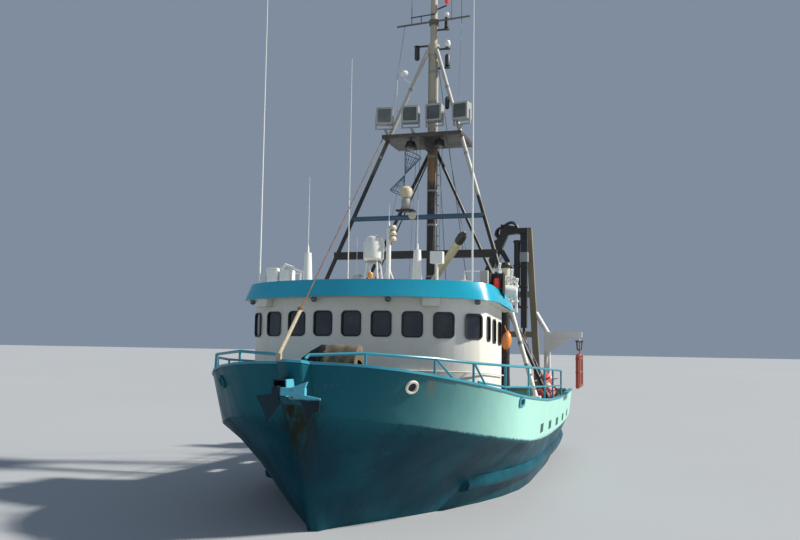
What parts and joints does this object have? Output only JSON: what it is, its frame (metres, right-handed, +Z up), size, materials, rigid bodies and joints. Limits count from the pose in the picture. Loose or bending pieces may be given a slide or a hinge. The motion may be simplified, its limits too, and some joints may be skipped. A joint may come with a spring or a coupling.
{
  "type": "fishing trawler",
  "caption": "Small steel fishing trawler with its house forward, tripod mast, stern gantry, knuckle crane, net drum and trawl doors, afloat at its waterline.",
  "frame": {"origin": "amidships on the centreline at the waterline", "axes": "-Y towards the bow, +X to port, +Z up"},
  "size_m": [8.76, 18.055, 17.65],
  "materials": {
    "hull_paint": "satin, weathered",
    "bottom_paint": "matt",
    "house_paint": "satin, weathered",
    "black_paint": "satin",
    "mast_paint": "matt, rust stained",
    "cream_paint": "satin",
    "grey_paint": "matt",
    "bare_steel": "worn",
    "wire_rope": "rusty",
    "tarpaulin": "coated cloth",
    "bronze": "worn",
    "trawl_board": "worn",
    "white_plastic": "gloss",
    "net_twine": "twine"
  },
  "bodies": {
    "boat": {"hull": "hull_paint", "keel": "bottom_paint", "bulwark": "hull_paint", "cap_rail": "hull_paint", "stern_bulwark": "hull_paint", "guard_port": "hull_paint", "guard_stbd": "hull_paint", "house_walls": "house_paint", "house_roof": "house_paint", "brow": "hull_paint", "house_aft_wall": "house_paint", "house_floor": "grey_paint", "helm_console": "black_paint", "windlass": "black_paint", "windlass_cover": "tarpaulin", "stem_roller": "grey_paint", "anchor": "hull_paint", "bitts": "black_paint", "rail_port": "hull_paint", "rail_stbd": "hull_paint", "mast": "mast_paint", "mast_leg_port": "black_paint", "mast_leg_stbd": "black_paint", "mast_stay_leg_port": "mast_paint", "mast_stay_leg_stbd": "mast_paint", "mast_platform": "grey_paint", "mast_cross_beam": "black_paint", "mast_spreader": "hull_paint", "masthead_yard": "house_paint", "forestay": "wire_rope", "gantry": "mast_paint", "gallows_port": "house_paint", "trawl_door_port": "trawl_board", "gallows_stbd": "house_paint", "trawl_door_stbd": "trawl_board", "crane_pedestal": "black_paint", "winch_frame": "grey_paint", "net_drum_stand": "grey_paint", "hatch_coaming": "hull_paint", "roof_antennas": "white_plastic", "whip_port": "white_plastic", "whip_stbd": "white_plastic", "raft_canister": "white_plastic", "exhaust": "cream_paint"},
    "propeller": {"propeller": "bronze"},
    "rudder": {"rudder": "bottom_paint"},
    "house_door": {"house_door": "house_paint"},
    "hatch_lid": {"hatch_lid": "hull_paint"},
    "stern_roller": {"stern_roller": "bare_steel"},
    "net_drum": {"net_drum": "net_twine"},
    "winch_drum_port": {"winch_drum_port": "bare_steel"},
    "winch_drum_stbd": {"winch_drum_stbd": "bare_steel"},
    "crane_column": {"crane_column": "black_paint"},
    "crane_boom": {"crane_boom": "black_paint"},
    "crane_jib": {"crane_jib": "black_paint"},
    "derrick_gooseneck": {"derrick_gooseneck": "black_paint"},
    "derrick_boom": {"derrick_boom": "cream_paint"}
  },
  "joints": [
    {"name": "propeller_spin", "type": "hinge", "parent": "boat", "child": "propeller", "pos_m": [0, 6.15, -1.5], "axis": [0, 1, 0], "continuous": true},
    {"name": "rudder_turn", "type": "hinge", "parent": "boat", "child": "rudder", "pos_m": [0, 7.05, -1], "axis": [0, 0, 1], "range_deg": [-35, 35]},
    {"name": "house_door_swing", "type": "hinge", "parent": "boat", "child": "house_door", "pos_m": [1.91, -2.2163, 2.6], "axis": [0, 0, -1], "range_deg": [0, 105]},
    {"name": "hatch_lid_swing", "type": "hinge", "parent": "boat", "child": "hatch_lid", "pos_m": [0, 3.85, 1.73], "axis": [-1, 0, 0], "range_deg": [0, 100]},
    {"name": "stern_roller_spin", "type": "hinge", "parent": "boat", "child": "stern_roller", "pos_m": [0, 8.59, 1.5903], "axis": [1, 0, 0], "continuous": true},
    {"name": "net_drum_spin", "type": "hinge", "parent": "boat", "child": "net_drum", "pos_m": [0, 7, 2.35], "axis": [1, 0, 0], "continuous": true},
    {"name": "winch_drum_port_spin", "type": "hinge", "parent": "boat", "child": "winch_drum_port", "pos_m": [1.175, -0.9, 2.15], "axis": [1, 0, 0], "continuous": true},
    {"name": "winch_drum_stbd_spin", "type": "hinge", "parent": "boat", "child": "winch_drum_stbd", "pos_m": [-1.175, -0.9, 2.15], "axis": [1, 0, 0], "continuous": true},
    {"name": "crane_slew", "type": "hinge", "parent": "boat", "child": "crane_column", "pos_m": [0.45, 4.65, 3.4], "axis": [0, 0, 1], "range_deg": [-35, 10]},
    {"name": "crane_luff", "type": "hinge", "parent": "crane_column", "child": "crane_boom", "pos_m": [0.45, 4.65, 4.5], "axis": [0, 1, 0], "range_deg": [0, 55]},
    {"name": "crane_fold", "type": "hinge", "parent": "crane_boom", "child": "crane_jib", "pos_m": [2.51, 4.65, 7.71], "axis": [0, -1, 0], "range_deg": [0, 150]},
    {"name": "derrick_slew", "type": "hinge", "parent": "boat", "child": "derrick_gooseneck", "pos_m": [0.05, 1.33, 5.64], "axis": [0, 0, 1], "range_deg": [-40, 0]},
    {"name": "derrick_topping", "type": "hinge", "parent": "derrick_gooseneck", "child": "derrick_boom", "pos_m": [0.16722, 1.10918, 5.64], "axis": [-0.8833, -0.4689, 0], "range_deg": [-10, 0]}
  ]
}
